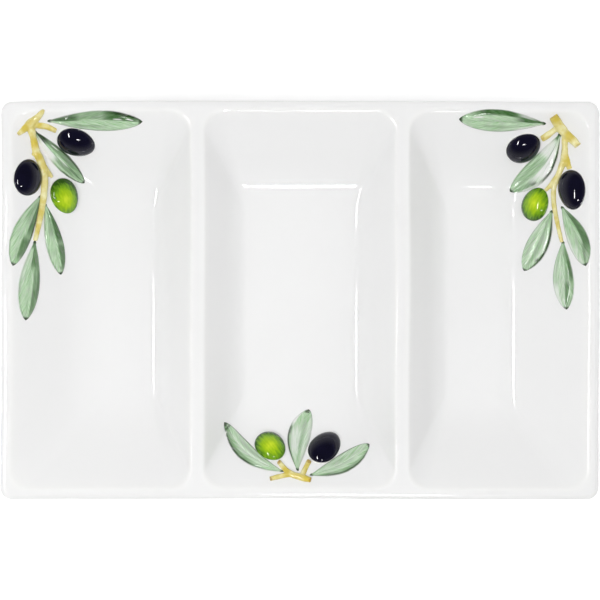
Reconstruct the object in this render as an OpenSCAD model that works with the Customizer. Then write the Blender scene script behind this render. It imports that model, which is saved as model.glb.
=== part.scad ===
// Olive dish: a slip-cast tray with three basins, and olive sprigs in relief stuck to its walls.
// Millimetres. +X is right, +Y is the back and +Z is up, with the origin on the table under the middle.

/* [Tray] */
// Length of the rim, left to right
tray_length = 350; // [320:1:420]
// Width of the rim, front to back
tray_width = 233; // [210:1:280]
// Plan radius of the rim's outer corners
tray_corner_r = 7; // [4:0.5:14]
// Width of the rim, from the outer edge to the edge of a basin
rim_width = 6; // [5.5:0.5:12]
// Height over which the rim rolls down to its outer edge, and back under it
rim_roll_r = 1.8; // [1:0.1:2.5]
// How far in from the outer edge the rim begins to roll down
rim_roll_run = 3.5; // [2:0.1:3.5]

/* [Basins] */
// Depth of the basins below the rim
basin_depth = 27; // [22:1:36]
// Length of the middle basin at its edge
middle_length = 112; // [90:1:130]
// Width of a divider at the edges of its basins
divider_width = 8; // [6:0.5:14]
// Level run of the gentle walls along the outside
outer_run = 42; // [32:1:50]
// Level run of the steeper walls along the dividers
divider_run = 18.5; // [14:0.5:24]
// Plan radius of the corners of a basin
basin_corner_r = 12; // [6:0.5:16]
// Height over which a wall curves into the floor, either side of where their planes meet
floor_blend = 9; // [4:0.5:11]
// Height over which a wall curves into the rim, either side of where their planes meet
lip_blend = 1.5; // [0.5:0.25:2]

/* [Shell] */
// Thickness of the cast clay
clay = 5.5; // [3.5:0.25:7]
// Height over which the underside of a wall curves into that of the floor, as for floor_blend
under_blend = 4.5; // [2.5:0.25:6]
// Height of the foot rings
foot_height = 2.5; // [1.5:0.25:5]
// Width of the foot rings
foot_width = 5; // [3:0.5:8]

/* [Sprigs] */
// Film of slip between a sprig and its wall
slip = 0.2; // [0.1:0.05:0.4]
// Thickness of a leaf along the crest of each half
leaf_crest = 1.9; // [1:0.1:3]
// Thickness of a leaf along its middle vein
leaf_vein = 1.3; // [0.7:0.1:2.5]
// Thickness of a leaf at its edge
leaf_edge = 0.8; // [0.4:0.1:1.5]
// How far an olive stands out of its wall
olive_rise = 5; // [3.5:0.25:8]
// Height of a twig as a share of its width
twig_round = 0.6; // [0.4:0.05:0.9]

/* [Hidden] */
glaze_white = "#F1F0EE";
leaf_green = "#8FB996";
olive_black = "#211D2A";
olive_green = "#8DB622";
twig_ochre = "#DEC35C";

// Facets of a corner arc, and of each curved stretch of a wall
corner_steps = 8;
blend_steps = 6;
roll_steps = 4;

// Levels: the table is zero, and a wall's own level runs from 0 at the floor to basin_depth at the rim
floor_z = foot_height + clay;
rim_z = floor_z + basin_depth;
half_width = tray_width / 2 - rim_width;
divider_x = (middle_length + divider_width) / 2;
side_near = divider_x + divider_width / 2;
side_far = tray_length / 2 - rim_width;

// Left, middle and right basins: the X of their edges, and the runs of the walls there
basin_edges = [[-side_far, -side_near], [-middle_length / 2, middle_length / 2], [side_near, side_far]];
basin_runs = [[outer_run, divider_run], [divider_run, divider_run], [divider_run, outer_run]];
cell_edges = [[-tray_length / 2, -divider_x], [-divider_x, divider_x], [divider_x, tray_length / 2]];

// How far the outside of a wall lies beyond its inside, measured level
function wall_offset(run) = clay * norm([run, basin_depth]) / basin_depth;

// The rim is as deep as its roll and the undersides of the walls need
ledge = 0.8;
rim_drop = max(
    2 * rim_roll_r,
    (rim_roll_r + ledge - rim_width + wall_offset(outer_run)) * basin_depth / outer_run,
    (ledge - divider_width / 2 + wall_offset(divider_run)) * basin_depth / divider_run
);
// The roll stops short of where the lip of a gentle wall begins
roll_gap = 0.1;
roll_run = min(rim_roll_run, rim_width - lip_blend * outer_run / basin_depth - roll_gap);

// Largest of a value and zero, with a parabola of reach k where they meet
function soft_positive(v, k) = v <= -k ? 0 : v >= k ? v : (v + k) ^ 2 / (4 * k);

// Heights of the inside and the outside of the clay at a wall's level
function inside_z(level) =
    rim_z - soft_positive(basin_depth - soft_positive(level, floor_blend), lip_blend);
function outside_z(level) = foot_height + soft_positive(level + clay, under_blend);

// A level outline with rounded corners, anticlockwise from the back right; radii follow the corners
function outline(x, y, radii, z) = [
    for (corner = [0:3], step = [0:corner_steps])
        let (
            r = radii[corner],
            sx = corner == 0 || corner == 3 ? 1 : -1,
            sy = corner < 2 ? 1 : -1,
            turn = 90 * (corner + step / corner_steps)
        )
        [x[sx > 0 ? 1 : 0] - sx * r + r * cos(turn), y[sy > 0 ? 1 : 0] - sy * r + r * sin(turn), z]
];

// The wall of a basin at a level, moved outwards by the clay for its underside; the corners stay
// short of half the outline's width
corner_limit = 0.45;
function basin_outline(b, level, z, out) =
    let (
        sink = 1 - level / basin_depth,
        runs = basin_runs[b],
        left = basin_edges[b][0] + runs[0] * sink - out * wall_offset(runs[0]),
        right = basin_edges[b][1] - runs[1] * sink + out * wall_offset(runs[1]),
        side = half_width - outer_run * sink + out * wall_offset(outer_run),
        r = min(basin_corner_r + out * clay, corner_limit * min(right - left, 2 * side))
    )
    outline([left, right], [-side, side], [r, r, r, r], z);

// The outline of a basin's third of the tray: drawn in at the tray's own edges, not along a divider
function cell_outline(b, inset, z) =
    let (
        left = b == 0 ? inset : 0,
        right = b == 2 ? inset : 0,
        x = [cell_edges[b][0] + left, cell_edges[b][1] - right],
        y = tray_width / 2 - inset,
        left_r = b == 0 ? tray_corner_r - inset : 0,
        right_r = b == 2 ? tray_corner_r - inset : 0
    )
    outline(x, [-y, y], [right_r, left_r, left_r, right_r], z);

inside_levels = concat(
    [for (i = [0:blend_steps]) floor_blend * (2 * i / blend_steps - 1)],
    [for (i = [0:blend_steps]) basin_depth + lip_blend * (2 * i / blend_steps - 1)]
);
outside_levels = concat(
    [basin_depth - rim_drop],
    [for (i = [blend_steps:-1:0]) under_blend * (2 * i / blend_steps - 1) - clay]
);
// Points of the rim's rolled edge: how far it is drawn in, and its height
roll_points = concat(
    [for (i = [0:roll_steps]) let (a = 90 * i / roll_steps)
        [roll_run * (1 - sin(a)), rim_z - rim_roll_r * (1 - cos(a))]],
    [for (i = [0:roll_steps]) let (a = 90 * i / roll_steps)
        [rim_roll_r * (1 - cos(a)), rim_z - rim_drop + rim_roll_r * (1 - sin(a))]]
);
inside_count = len(inside_levels);
roll_count = len(roll_points);
ring_size = 4 * (corner_steps + 1);

// A basin's third of the shell as rings, from its floor over the rim to its underside
function shell_rings(b) = concat(
    [for (level = inside_levels) basin_outline(b, level, inside_z(level), 0)],
    [for (p = roll_points) cell_outline(b, p[0], p[1])],
    [for (level = outside_levels) basin_outline(b, level, outside_z(level), 1)]
);

// A divider's centre line carries no rolled edge: the next third of the shell goes on from it
function along_divider(b, k) =
    let (corner_end = k % (corner_steps + 1) == corner_steps, corner = floor(k / (corner_steps + 1)))
    corner_end && ((corner == 1 && b > 0) || (corner == 3 && b < 2));

// Faces between the rings of one third, with the floor and the underside closed
function shell_faces(b, rings) =
    let (
        count = len(rings),
        first = b * count * ring_size,
        points = [for (ring = rings) each ring],
        strips = [
            for (i = [0:count - 2], k = [0:ring_size - 1])
                let (
                    roll = i >= inside_count && i < inside_count + roll_count - 1,
                    a = i * ring_size + k,
                    c = i * ring_size + (k + 1) % ring_size,
                    d = a + ring_size,
                    e = c + ring_size
                )
                if (!(roll && along_divider(b, k)))
                    each [[a, c, e], [a, e, d]]
        ],
        last = (count - 1) * ring_size
    )
    concat(
        [[for (k = [ring_size - 1:-1:0]) first + k]],
        [for (t = strips)
            let (p = points[t[0]], q = points[t[1]], r = points[t[2]])
                if (p != q && q != r && r != p) [for (k = t) first + k]],
        [[for (k = [0:ring_size - 1]) first + last + k]]
    );

module foot_ring(b) {
    level = -clay - under_blend;
    rim = [for (p = basin_outline(b, level, 0, 1)) [p.x, p.y]];
    linear_extrude(foot_height + clay / 2)
        difference() {
            polygon(rim);
            offset(delta = -foot_width) polygon(rim);
        }
}

// The cast tray, with three foot rings
module dish_body() {
    thirds = [for (b = [0:2]) shell_rings(b)];
    color(glaze_white)
        union() {
            polyhedron(
                points = [for (rings = thirds, ring = rings) each ring],
                faces = [for (b = [0:2]) each shell_faces(b, thirds[b])],
                convexity = 8
            );
            for (b = [0:2]) foot_ring(b);
        }
}

// The level of a basin's wall at a place in plan: planes along the sides, round in the corners
function wall_level(b, p) =
    let (
        to_left = p.x - basin_edges[b][0],
        to_right = basin_edges[b][1] - p.x,
        leftmost = to_left / basin_runs[b][0] < to_right / basin_runs[b][1],
        dx = leftmost ? to_left : to_right,
        dy = half_width - abs(p.y),
        fall_x = basin_depth / (leftmost ? basin_runs[b][0] : basin_runs[b][1]),
        fall_y = basin_depth / outer_run,
        r = basin_corner_r,
        qa = 1 / fall_x ^ 2 + 1 / fall_y ^ 2,
        qb = (r - dx) / fall_x + (r - dy) / fall_y,
        qc = (r - dx) ^ 2 + (r - dy) ^ 2 - r ^ 2,
        root = qb ^ 2 - qa * qc,
        round_drop = root < 0 ? 0 : (sqrt(root) - qb) / qa,
        cornered = root >= 0 && round_drop / fall_x + r > dx && round_drop / fall_y + r > dy
    )
    basin_depth - (cornered ? round_drop : min(dx * fall_x, dy * fall_y));

function wall_z(b, p) = inside_z(wall_level(b, p));
function on_wall(b, p) = [p.x, p.y, wall_z(b, p) + slip];

// Unit normal of a wall, from its heights close by
near = 0.05;
function wall_normal(b, p) =
    let (
        dx = (wall_z(b, p + [near, 0]) - wall_z(b, p - [near, 0])) / (2 * near),
        dy = (wall_z(b, p + [0, near]) - wall_z(b, p - [0, near])) / (2 * near),
        n = [-dx, -dy, 1]
    )
    n / norm(n);

// A place in a sprig: in from the side edge and the back edge of its basin, or from the front edge's middle
function sprig_place(b, p) =
    b == 0 ? [-side_far + p.x, half_width - p.y] :
    b == 1 ? [p.x, p.y - half_width] :
    [side_far - p.x, half_width - p.y];

// Twigs: name, basin, and strands of points with the strand's width there
function twigs() = [
    ["left_twig", 0, [
        [[3.6, 13.4, 2.2], [10.5, 7.2, 5], [15.6, 3, 3.8], [18.2, 0.4, 2.8], [19.4, -1.2, 1.6]],
        [[10.8, 7.6, 5], [12.4, 16, 4.2], [13.6, 22.5, 4.6], [17.4, 33, 4.6], [18, 45, 4], [16, 60, 3.6],
            [13, 75.5, 2.6]],
        [[12.6, 7.6, 3.4], [20, 8.4, 3.6], [25.5, 11, 2.6]],
        [[14, 21, 4], [11.6, 25.6, 1.8]],
        [[17.2, 31.5, 4.4], [22.6, 38, 2]]
    ]],
    ["right_twig", 2, [
        [[20.6, 2.2, 5.2], [17, 6.8, 5.8], [13, 11.8, 4.8], [6, 20.2, 4]],
        [[13.8, 12.5, 4.4], [15, 30, 4.4], [18.8, 47, 3.6], [17.5, 66, 3.2], [14.7, 75, 2.4]],
        [[18.4, 8.6, 4], [23, 12, 4.2], [26.2, 14.5, 4]],
        [[13.5, 20, 4], [10.5, 32, 3]],
        [[15.5, 31, 4], [20.5, 39, 3], [23.6, 43.6, 2.4]]
    ]],
    ["front_twig", 1, [
        [[-12.6, 15.2, 2.8], [-6.5, 8.8, 3.6], [0.5, 6.2, 3.9], [6.7, 4.6, 3.2]],
        [[-4.5, 8, 3.2], [-10, 7, 3], [-17.5, 5.3, 2.8]],
        [[1, 6.4, 3.2], [3.2, 11, 3.2], [5.6, 15.7, 3.2]]
    ]]
];

// Leaves: name, basin, base, tip, width, and how far the middle bows to the left of the way to the tip
function leaves() = [
    ["left_top_leaf", 0, [21, 5.3], [76.8, 6.2], 10.8, 0.5],
    ["left_inner_leaf", 0, [15.6, 11.6], [41, 41.4], 9, -1.1],
    ["left_outer_leaf", 0, [14.8, 49.5], [0.8, 90.2], 10.6, -1.7],
    ["left_lower_leaf", 0, [19.7, 54.2], [27.6, 95.6], 9.4, 0.2],
    ["left_tip_leaf", 0, [12.8, 77.4], [8, 122.3], 11, -0.4],
    ["right_top_leaf", 2, [23.8, 7.2], [76, 4.5], 11.9, -0.5],
    ["right_inner_leaf", 2, [17.4, 13.4], [44.2, 46.2], 12.6, 3.6],
    ["right_outer_leaf", 2, [14.8, 55], [2, 90.4], 10.9, 1.6],
    ["right_lower_leaf", 2, [21, 57.6], [36.2, 93.2], 11.4, 0.6],
    ["right_tip_leaf", 2, [14, 77], [12.6, 116], 10.8, -0.9],
    ["front_left_leaf", 1, [-11.7, 9.7], [-44.8, 38.2], 9, 5.6],
    ["front_middle_leaf", 1, [-1.2, 10], [5.3, 45.5], 11, 3],
    ["front_right_leaf", 1, [7.5, 8], [41.2, 25.4], 10, -2.9]
];

// Olives: name, basin, middle, length, width, the turn of the long axis in plan, and colour
function olives() = [
    ["left_upper_olive", 0, [36.8, 17.6], 22, 16.6, -15, olive_black],
    ["left_side_olive", 0, [8.2, 38.8], 21.8, 17, 80, olive_black],
    ["left_green_olive", 0, [29.2, 49.1], 21.2, 17.2, -62, olive_green],
    ["right_upper_olive", 2, [37.2, 20], 21.6, 17, 37, olive_black],
    ["right_side_olive", 2, [8.3, 45.5], 23.6, 17, -84, olive_black],
    ["right_green_olive", 2, [29, 53.8], 19.6, 17.4, 68, olive_green],
    ["front_green_olive", 1, [-16.9, 24.4], 19.2, 17, -37, olive_green],
    ["front_black_olive", 1, [14.4, 23.6], 21, 17.4, 35, olive_black]
];

// Points of a smooth line through a strand's own points
strand_steps = 3;
function between(a, b, c, d, t) =
    0.5 * (2 * b + (c - a) * t + (2 * a - 5 * b + 4 * c - d) * t ^ 2 + (3 * b - a - 3 * c + d) * t ^ 3);
function strand_line(points) =
    let (last = len(points) - 1)
    concat(
        [for (i = [0:last - 1], s = [0:strand_steps - 1])
            let (before = points[max(i - 1, 0)], after = points[min(i + 2, last)])
            between(before, points[i], points[i + 1], after, s / strand_steps)],
        [points[last]]
    );

// Across a strand: the lines of points as shares of half its width, and their shares of its height
strand_lines = [-1, -0.76, -0.3, 0.3, 0.76, 1];
strand_heights = [0, 0.62, 0.95, 0.95, 0.62, 0];

// A strand of half-round clay on the wall; lap lifts its first end into the strand that it grows from
module twig_strand(b, strand, lap) {
    line = strand_line(strand);
    last = len(line) - 1;
    sides = len(strand_lines);
    points = [
        for (i = [0:last])
            let (
                p = sprig_place(b, line[i]),
                way = sprig_place(b, line[min(i + 1, last)]) - sprig_place(b, line[max(i - 1, 0)]),
                left = [-way.y, way.x] / norm(way),
                width = line[i].z,
                up = wall_normal(b, p)
            )
            for (k = [0:sides - 1])
                on_wall(b, p + left * strand_lines[k] * width / 2)
                    + up * (strand_heights[k] * width * twig_round + (i == 0 ? lap : 0))
    ];
    skin = [
        for (i = [0:last - 1], k = [0:sides - 1])
            let (a = i * sides + k, c = i * sides + (k + 1) % sides)
            each [[a, c, c + sides], [a, c + sides, a + sides]]
    ];
    polyhedron(points, concat(
        [[for (k = [sides - 1:-1:0]) k]],
        skin,
        [[for (k = [0:sides - 1]) last * sides + k]]
    ));
}

// A twig: a first strand, and the others that grow out of it
twig_lap = 0.4;
module sprig_twig(twig) {
    color(twig_ochre)
        union()
            for (k = [0:len(twig[2]) - 1])
                twig_strand(twig[1], twig[2][k], k == 0 ? 0 : twig_lap);
}

// The width of a leaf along its length: narrow at the base, widest past the middle, pointed at the tip
leaf_base_power = 1.15;
leaf_tip_power = 0.8;
leaf_widest = leaf_base_power / (leaf_base_power + leaf_tip_power);
leaf_end = 0.06;
function leaf_swell(t) = t ^ leaf_base_power * (1 - t) ^ leaf_tip_power;
function leaf_spread(t) = max(leaf_end, leaf_swell(t) / leaf_swell(leaf_widest));

// Across a leaf: the place of each line of points, and the thickness there
leaf_rows = 12;
leaf_lines = [-1, -0.5, 0, 0.5, 1];
leaf_thickness = [leaf_edge, leaf_crest, leaf_vein, leaf_crest, leaf_edge];

// Order of the points round the border of a grid, anticlockwise
function grid_border(rows, columns) = concat(
    [for (i = [0:rows - 2]) i * columns],
    [for (j = [0:columns - 2]) (rows - 1) * columns + j],
    [for (i = [rows - 1:-1:1]) i * columns + columns - 1],
    [for (j = [columns - 1:-1:1]) j]
);

// A leaf: a thin pad on the wall with a crest along each half and a sunk vein between
module sprig_leaf(leaf) {
    b = leaf[1];
    base = sprig_place(b, leaf[2]);
    tip = sprig_place(b, leaf[3]);
    along = (tip - base) / norm(tip - base);
    left = [-along.y, along.x];
    middle = (base + tip) / 2 + 2 * leaf[5] * left;
    columns = len(leaf_lines);
    places = [
        for (i = [0:leaf_rows - 1], line = leaf_lines)
            let (
                t = i / (leaf_rows - 1),
                spine = (1 - t) ^ 2 * base + 2 * t * (1 - t) * middle + t ^ 2 * tip
            )
            spine + left * line * leaf_spread(t) * leaf[4] / 2
    ];
    under = [for (p = places) on_wall(b, p)];
    over = [
        for (i = [0:len(places) - 1])
            under[i] + wall_normal(b, places[i]) * leaf_thickness[i % columns]
    ];
    count = len(places);
    border = grid_border(leaf_rows, columns);
    tops = [
        for (i = [0:leaf_rows - 2], j = [0:columns - 2])
            let (a = i * columns + j, c = a + columns)
            each [[a, a + 1, c + 1], [a, c + 1, c]]
    ];
    sides = [
        for (k = [0:len(border) - 1])
            let (a = border[k], c = border[(k + 1) % len(border)])
            each [[count + a, a, c], [count + a, c, count + c]]
    ];
    color(leaf_green)
        polyhedron(
            points = concat(over, under),
            faces = concat(tops, [for (t = tops) [count + t[2], count + t[1], count + t[0]]], sides)
        );
}

// An olive: half an olive lying in the wall, a little narrower towards its far end
olive_sides = 20;
olive_reach = [0.35, 0.62, 0.82, 0.95, 1];
olive_taper = 0.08;
module sprig_olive(olive) {
    b = olive[1];
    centre = sprig_place(b, olive[2]);
    up = wall_normal(b, centre);
    heading = [cos(olive[5]), sin(olive[5]), 0];
    flat = heading - (heading * up) * up;
    long_axis = flat / norm(flat);
    cross_axis = cross(up, long_axis);
    rings = len(olive_reach);
    spots = concat(
        [[0, centre]],
        [for (reach = olive_reach, k = [0:olive_sides - 1])
            let (
                turn = 360 * k / olive_sides,
                taper = 1 - olive_taper * reach * cos(turn),
                place = long_axis * olive[3] / 2 * reach * cos(turn)
                    + cross_axis * olive[4] / 2 * reach * sin(turn) * taper
            )
            [reach, centre + [place.x, place.y]]]
    );
    under = [for (s = spots) on_wall(b, s[1])];
    over = [for (i = [0:len(spots) - 1]) under[i] + up * olive_rise * sqrt(1 - spots[i][0] ^ 2)];
    count = len(spots);
    inner = count - olive_sides;
    tops = concat(
        [for (k = [0:olive_sides - 1]) [0, 1 + (k + 1) % olive_sides, 1 + k]],
        [for (i = [0:rings - 2], k = [0:olive_sides - 1])
            let (a = 1 + i * olive_sides + k, c = 1 + i * olive_sides + (k + 1) % olive_sides)
            each [[a, c, c + olive_sides], [a, c + olive_sides, a + olive_sides]]]
    );
    color(olive[6])
        polyhedron(
            points = concat(over, [for (i = [0:inner - 1]) under[i]]),
            faces = concat(
                tops,
                [for (t = tops) [for (k = [2, 1, 0]) t[k] < inner ? count + t[k] : t[k]]]
            )
        );
}

dish_body();
for (twig = twigs()) sprig_twig(twig);
for (leaf = leaves()) sprig_leaf(leaf);
for (olive = olives()) sprig_olive(olive);
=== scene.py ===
# %% [markdown]
# The olive dish: a slip-cast tray of white earthenware with three basins, and olive sprigs in relief.
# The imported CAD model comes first, as a frame that nothing moves. Every piece of it is then replaced by
# a finer mesh of the same form, made from the same sizes, so that the glaze has smooth surfaces to shine
# on.

# %% The frame
import math

import bmesh
import bpy
import numpy as np
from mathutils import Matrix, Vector


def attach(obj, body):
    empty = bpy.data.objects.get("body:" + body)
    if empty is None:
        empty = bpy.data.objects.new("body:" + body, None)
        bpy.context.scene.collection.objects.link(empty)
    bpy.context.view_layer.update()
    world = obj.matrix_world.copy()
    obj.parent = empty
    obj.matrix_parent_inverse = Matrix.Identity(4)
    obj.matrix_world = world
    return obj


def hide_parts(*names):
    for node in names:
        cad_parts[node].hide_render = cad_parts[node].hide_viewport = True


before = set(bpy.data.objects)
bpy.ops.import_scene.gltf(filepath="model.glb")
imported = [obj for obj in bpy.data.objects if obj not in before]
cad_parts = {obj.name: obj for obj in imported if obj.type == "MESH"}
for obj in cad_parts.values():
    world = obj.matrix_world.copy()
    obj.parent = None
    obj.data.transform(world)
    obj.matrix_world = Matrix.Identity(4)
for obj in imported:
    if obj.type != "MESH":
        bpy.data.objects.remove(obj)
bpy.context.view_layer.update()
print("nodes in the frame:", len(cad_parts))

# %% [markdown]
# Colours are written as the sRGB hex values that the eye sees in a picture, and shaders want linear
# light, so one function turns one into the other. A second one adds a shader node with its settings,
# values and links.

# %% Colour and node helpers
def linear(hex_colour):
    """The linear RGBA of an sRGB hex colour."""
    parts = [int(hex_colour[i:i + 2], 16) / 255 for i in (1, 3, 5)]
    return tuple(c / 12.92 if c <= 0.04045 else ((c + 0.055) / 1.055) ** 2.4 for c in parts) + (1.0,)


def add_node(tree, kind, settings=None, values=None, links=None):
    """Adds a shader node: its own settings, then the values and the links of its inputs.

    A link comes from an output, or from a node, and then from its first output in use.
    """
    node = tree.nodes.new("ShaderNode" + kind)
    for name, value in (settings or {}).items():
        setattr(node, name, value)
    for name, value in (values or {}).items():
        node.inputs[name].default_value = value
    for name, source in (links or {}).items():
        if isinstance(source, bpy.types.Node):
            source = next(output for output in source.outputs if output.enabled)
        tree.links.new(source, node.inputs[name])
    return node


# A colour mix takes its amount in socket 0 and its two colours in sockets 6 and 7.
COLOUR_MIX = {"data_type": "RGBA"}


def new_material(name):
    """An empty node material and its tree."""
    material = bpy.data.materials.new(name)
    material.use_nodes = True
    material.node_tree.nodes.clear()
    return material, material.node_tree


print("mid grey is", [round(c, 3) for c in linear("#808080")[:3]], "in linear light")

# %% [markdown]
# The photograph looks straight down on the dish, from far enough that the walls hardly lean. A camera
# 1.6 m above the table with a long lens gives that view. The rim fills the frame from side to side.

# %% Camera
MM = 0.001
CAMERA_HEIGHT = 1600 * MM
RIM_HEIGHT = 35 * MM
FRAME_WIDTH = 350.9 * MM
SENSOR_WIDTH = 36.0

camera_data = bpy.data.cameras.new("camera")
camera_data.sensor_width = SENSOR_WIDTH
camera_data.lens = SENSOR_WIDTH * (CAMERA_HEIGHT - RIM_HEIGHT) / FRAME_WIDTH
camera = bpy.data.objects.new("camera", camera_data)
camera.location = (0, 0, CAMERA_HEIGHT)
bpy.context.scene.collection.objects.link(camera)
bpy.context.scene.camera = camera
bpy.context.scene.view_settings.view_transform = "Standard"
print("lens %.1f mm" % camera_data.lens)

# %% [markdown]
# Plain studio light: a dim surround, large soft fills all round, and two narrow windows, one high on the
# left and one in front, with bars between their panes. On a glossy white dish the panes are what shows
# the form, as broken white lines along the lips and fillets, and as two small glints on each olive. The
# fills light the clay but are kept out of the reflections, as a photographer does with flags and
# polarisers, so that the black olives stay black.

# %% Lamps
def lamp(name, place, aim, size, power):
    """A rectangular lamp that faces the place it aims at."""
    light = bpy.data.lights.new(name, "AREA")
    light.shape = "RECTANGLE"
    light.size, light.size_y = size
    light.energy = power
    body = bpy.data.objects.new(name, light)
    body.location = place
    body.rotation_euler = (Vector(aim) - Vector(place)).to_track_quat("-Z", "Y").to_euler()
    bpy.context.scene.collection.objects.link(body)
    return body


# A lamp has a name, its place, the place it aims at, its two sizes in metres and its power in watts.
PANES = (
    ("left_pane", (-0.65, -0.24, 1.33), (0, -0.24, 0), (0.52, 0.07), 6.8),
    ("left_end_pane", (-0.65, 0.112, 1.33), (0, 0.112, 0), (0.034, 0.07), 0.44),
    ("front_pane", (0.05, -0.70, 1.31), (0.05, 0, 0), (0.20, 0.07), 2.6),
    ("front_end_pane", (0.213, -0.70, 1.31), (0.213, 0, 0), (0.034, 0.03), 0.18),
)
FILLS = (
    ("left_fill", (-1.20, 0.10, 1.50), (0, 0, 0), (2.40, 2.00), 10.4),
    ("right_fill", (1.20, 0.10, 1.50), (0, 0, 0), (2.40, 2.00), 17.6),
    ("back_fill", (0.0, 1.20, 1.60), (0, 0, 0), (2.40, 2.00), 5.6),
)

for pane in PANES:
    lamp(*pane)
for fill in FILLS:
    lamp(*fill).visible_glossy = False

# %% [markdown]
# The surround is dim overhead, where the camera stands, so that flat glaze stays clear. Towards the
# table it gets brighter, as the pale walls of a studio are, and rims the olives and the lips.

# %% Surround
world = bpy.data.worlds.new("surround")
bpy.context.scene.world = world
world.use_nodes = True
tree = world.node_tree
tree.nodes.clear()
way = add_node(tree, "TexCoord").outputs["Generated"]
height = add_node(tree, "SeparateXYZ", links={0: way}).outputs["Z"]
strength = add_node(tree, "MapRange", {"interpolation_type": "SMOOTHSTEP"},
                    {"From Min": 0.05, "From Max": 0.6, "To Min": 0.63, "To Max": 0.09}, {"Value": height})
surround = add_node(tree, "Background", values={"Color": (1, 1, 1, 1)}, links={"Strength": strength})
add_node(tree, "OutputWorld", links={"Surface": surround})
print("world:", world.name)

# %% [markdown]
# The floor is a plain pale sheet. It takes the shadow of the dish. Seen by the camera, or mirrored in
# the glaze, it glows just enough to come out white, and more so far from the dish, where the lamps
# hardly reach. It lies a tenth of a millimetre under the feet, so that the two faces don't fight.

# %% Floor
FLOOR_SIDE, FLOOR_GAP = 6.0, 0.1 * MM

floor_material, tree = new_material("white_paper_sheet")
rays = add_node(tree, "LightPath").outputs
paper = add_node(tree, "BsdfDiffuse", values={"Color": linear("#EDEDED")})
place = add_node(tree, "TexCoord").outputs["Object"]
away = add_node(tree, "VectorMath", {"operation": "LENGTH"}, links={0: place}).outputs["Value"]
level = add_node(tree, "MapRange", links={"Value": away},
                 values={"From Min": 0.5, "From Max": 2.2, "To Min": 0.4, "To Max": 0.95})
glow = add_node(tree, "Emission", values={"Color": (1, 1, 1, 1)}, links={"Strength": level})
lit = add_node(tree, "AddShader", links={0: paper, 1: glow})
mirrored = add_node(tree, "Math", {"operation": "MAXIMUM"},
                    links={0: rays["Is Glossy Ray"], 1: rays["Is Transmission Ray"]})
looked_at = add_node(tree, "Math", {"operation": "MAXIMUM"}, links={0: rays["Is Camera Ray"], 1: mirrored})
seen = add_node(tree, "MixShader", links={"Fac": looked_at, 1: paper, 2: lit})
add_node(tree, "OutputMaterial", links={"Surface": seen})

floor_mesh = bpy.data.meshes.new("floor")
half = FLOOR_SIDE / 2
corners = [(-half, -half, 0), (half, -half, 0), (half, half, 0), (-half, half, 0)]
floor_mesh.from_pydata(corners, [], [(0, 1, 2, 3)])
floor = bpy.data.objects.new("floor", floor_mesh)
floor.location.z = -FLOOR_GAP
floor_mesh.materials.append(floor_material)
bpy.context.scene.collection.objects.link(floor)
print("floor %.0f m wide" % FLOOR_SIDE)

# %% [markdown]
# The sizes are those of the CAD source, in millimetres. The basins are cut with sloping walls: gentle
# ones along the outside, steeper ones along the dividers. A wall's own level runs from 0 at the floor to
# the depth at the rim. The tighter floor corners, the crisp lip and foot, and the way over which they
# change are finer than the source.

# %% Sizes of the tray
TRAY_LENGTH, TRAY_WIDTH, TRAY_CORNER = 350.0, 233.0, 7.0
RIM_WIDTH, ROLL_RUN, ROLL_DROP = 6.0, 3.5, 1.8
DEPTH, MIDDLE_LENGTH, DIVIDER = 27.0, 112.0, 8.0
OUTER_RUN, DIVIDER_RUN = 42.0, 18.5
BASIN_CORNER, FLOOR_CORNER = 12.0, 5.0
FLOOR_BLEND, LIP_BLEND, UNDER_BLEND = 9.0, 1.5, 4.5
OUTER_LIP, RIGHT_FOOT, SIDE_CHANGE = 0.65, 2.5, 12.0
CLAY, FOOT_HEIGHT, FOOT_WIDTH = 5.5, 2.5, 5.0

FLOOR_Z = FOOT_HEIGHT + CLAY
RIM_Z = FLOOR_Z + DEPTH
HALF_WIDTH = TRAY_WIDTH / 2 - RIM_WIDTH
DIVIDER_X = (MIDDLE_LENGTH + DIVIDER) / 2
SIDE_NEAR = DIVIDER_X + DIVIDER / 2
SIDE_FAR = TRAY_LENGTH / 2 - RIM_WIDTH
BASIN_EDGES = ((-SIDE_FAR, -SIDE_NEAR), (-MIDDLE_LENGTH / 2, MIDDLE_LENGTH / 2), (SIDE_NEAR, SIDE_FAR))
BASIN_RUNS = ((OUTER_RUN, DIVIDER_RUN), (DIVIDER_RUN, DIVIDER_RUN), (DIVIDER_RUN, OUTER_RUN))
CELL_EDGES = ((-TRAY_LENGTH / 2, -DIVIDER_X), (-DIVIDER_X, DIVIDER_X), (DIVIDER_X, TRAY_LENGTH / 2))
print("rim at %.0f mm, floors at %.0f mm" % (RIM_Z, FLOOR_Z))

# %% [markdown]
# Two parabolas soften the foot of a wall and its lip. The lip is crisp along the outside and rounder
# along the dividers, where the mould draws the clay over. The foot of the wall at the right-hand end is
# crisper than the others, as its thin highlight line tells. A bevel modifier could round them too, but
# with one radius all along, and the sprigs couldn't ask it for a height.

# %% Feet and lips of the walls
def soft_positive(value, reach):
    """The larger of a value and zero, with a parabola where they meet."""
    blend = np.clip(value + reach, 0, 2 * reach) ** 2 / (4 * reach)
    return np.where(value > reach, value, blend)


def smooth_step(low, high, value):
    """From 0 to 1 between two values, with no kink at either."""
    t = np.clip((value - low) / (high - low), 0, 1)
    return t * t * (3 - 2 * t)


def inside_z(level, lip, foot):
    """The height of a wall at a level, with its lip and its foot softened."""
    return RIM_Z - soft_positive(DEPTH - soft_positive(level, foot), lip)


def nearer(one, other):
    """From 0 to 1 as a place gets nearer to one edge than to another."""
    return smooth_step(-SIDE_CHANGE, SIDE_CHANGE, other - one)


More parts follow.
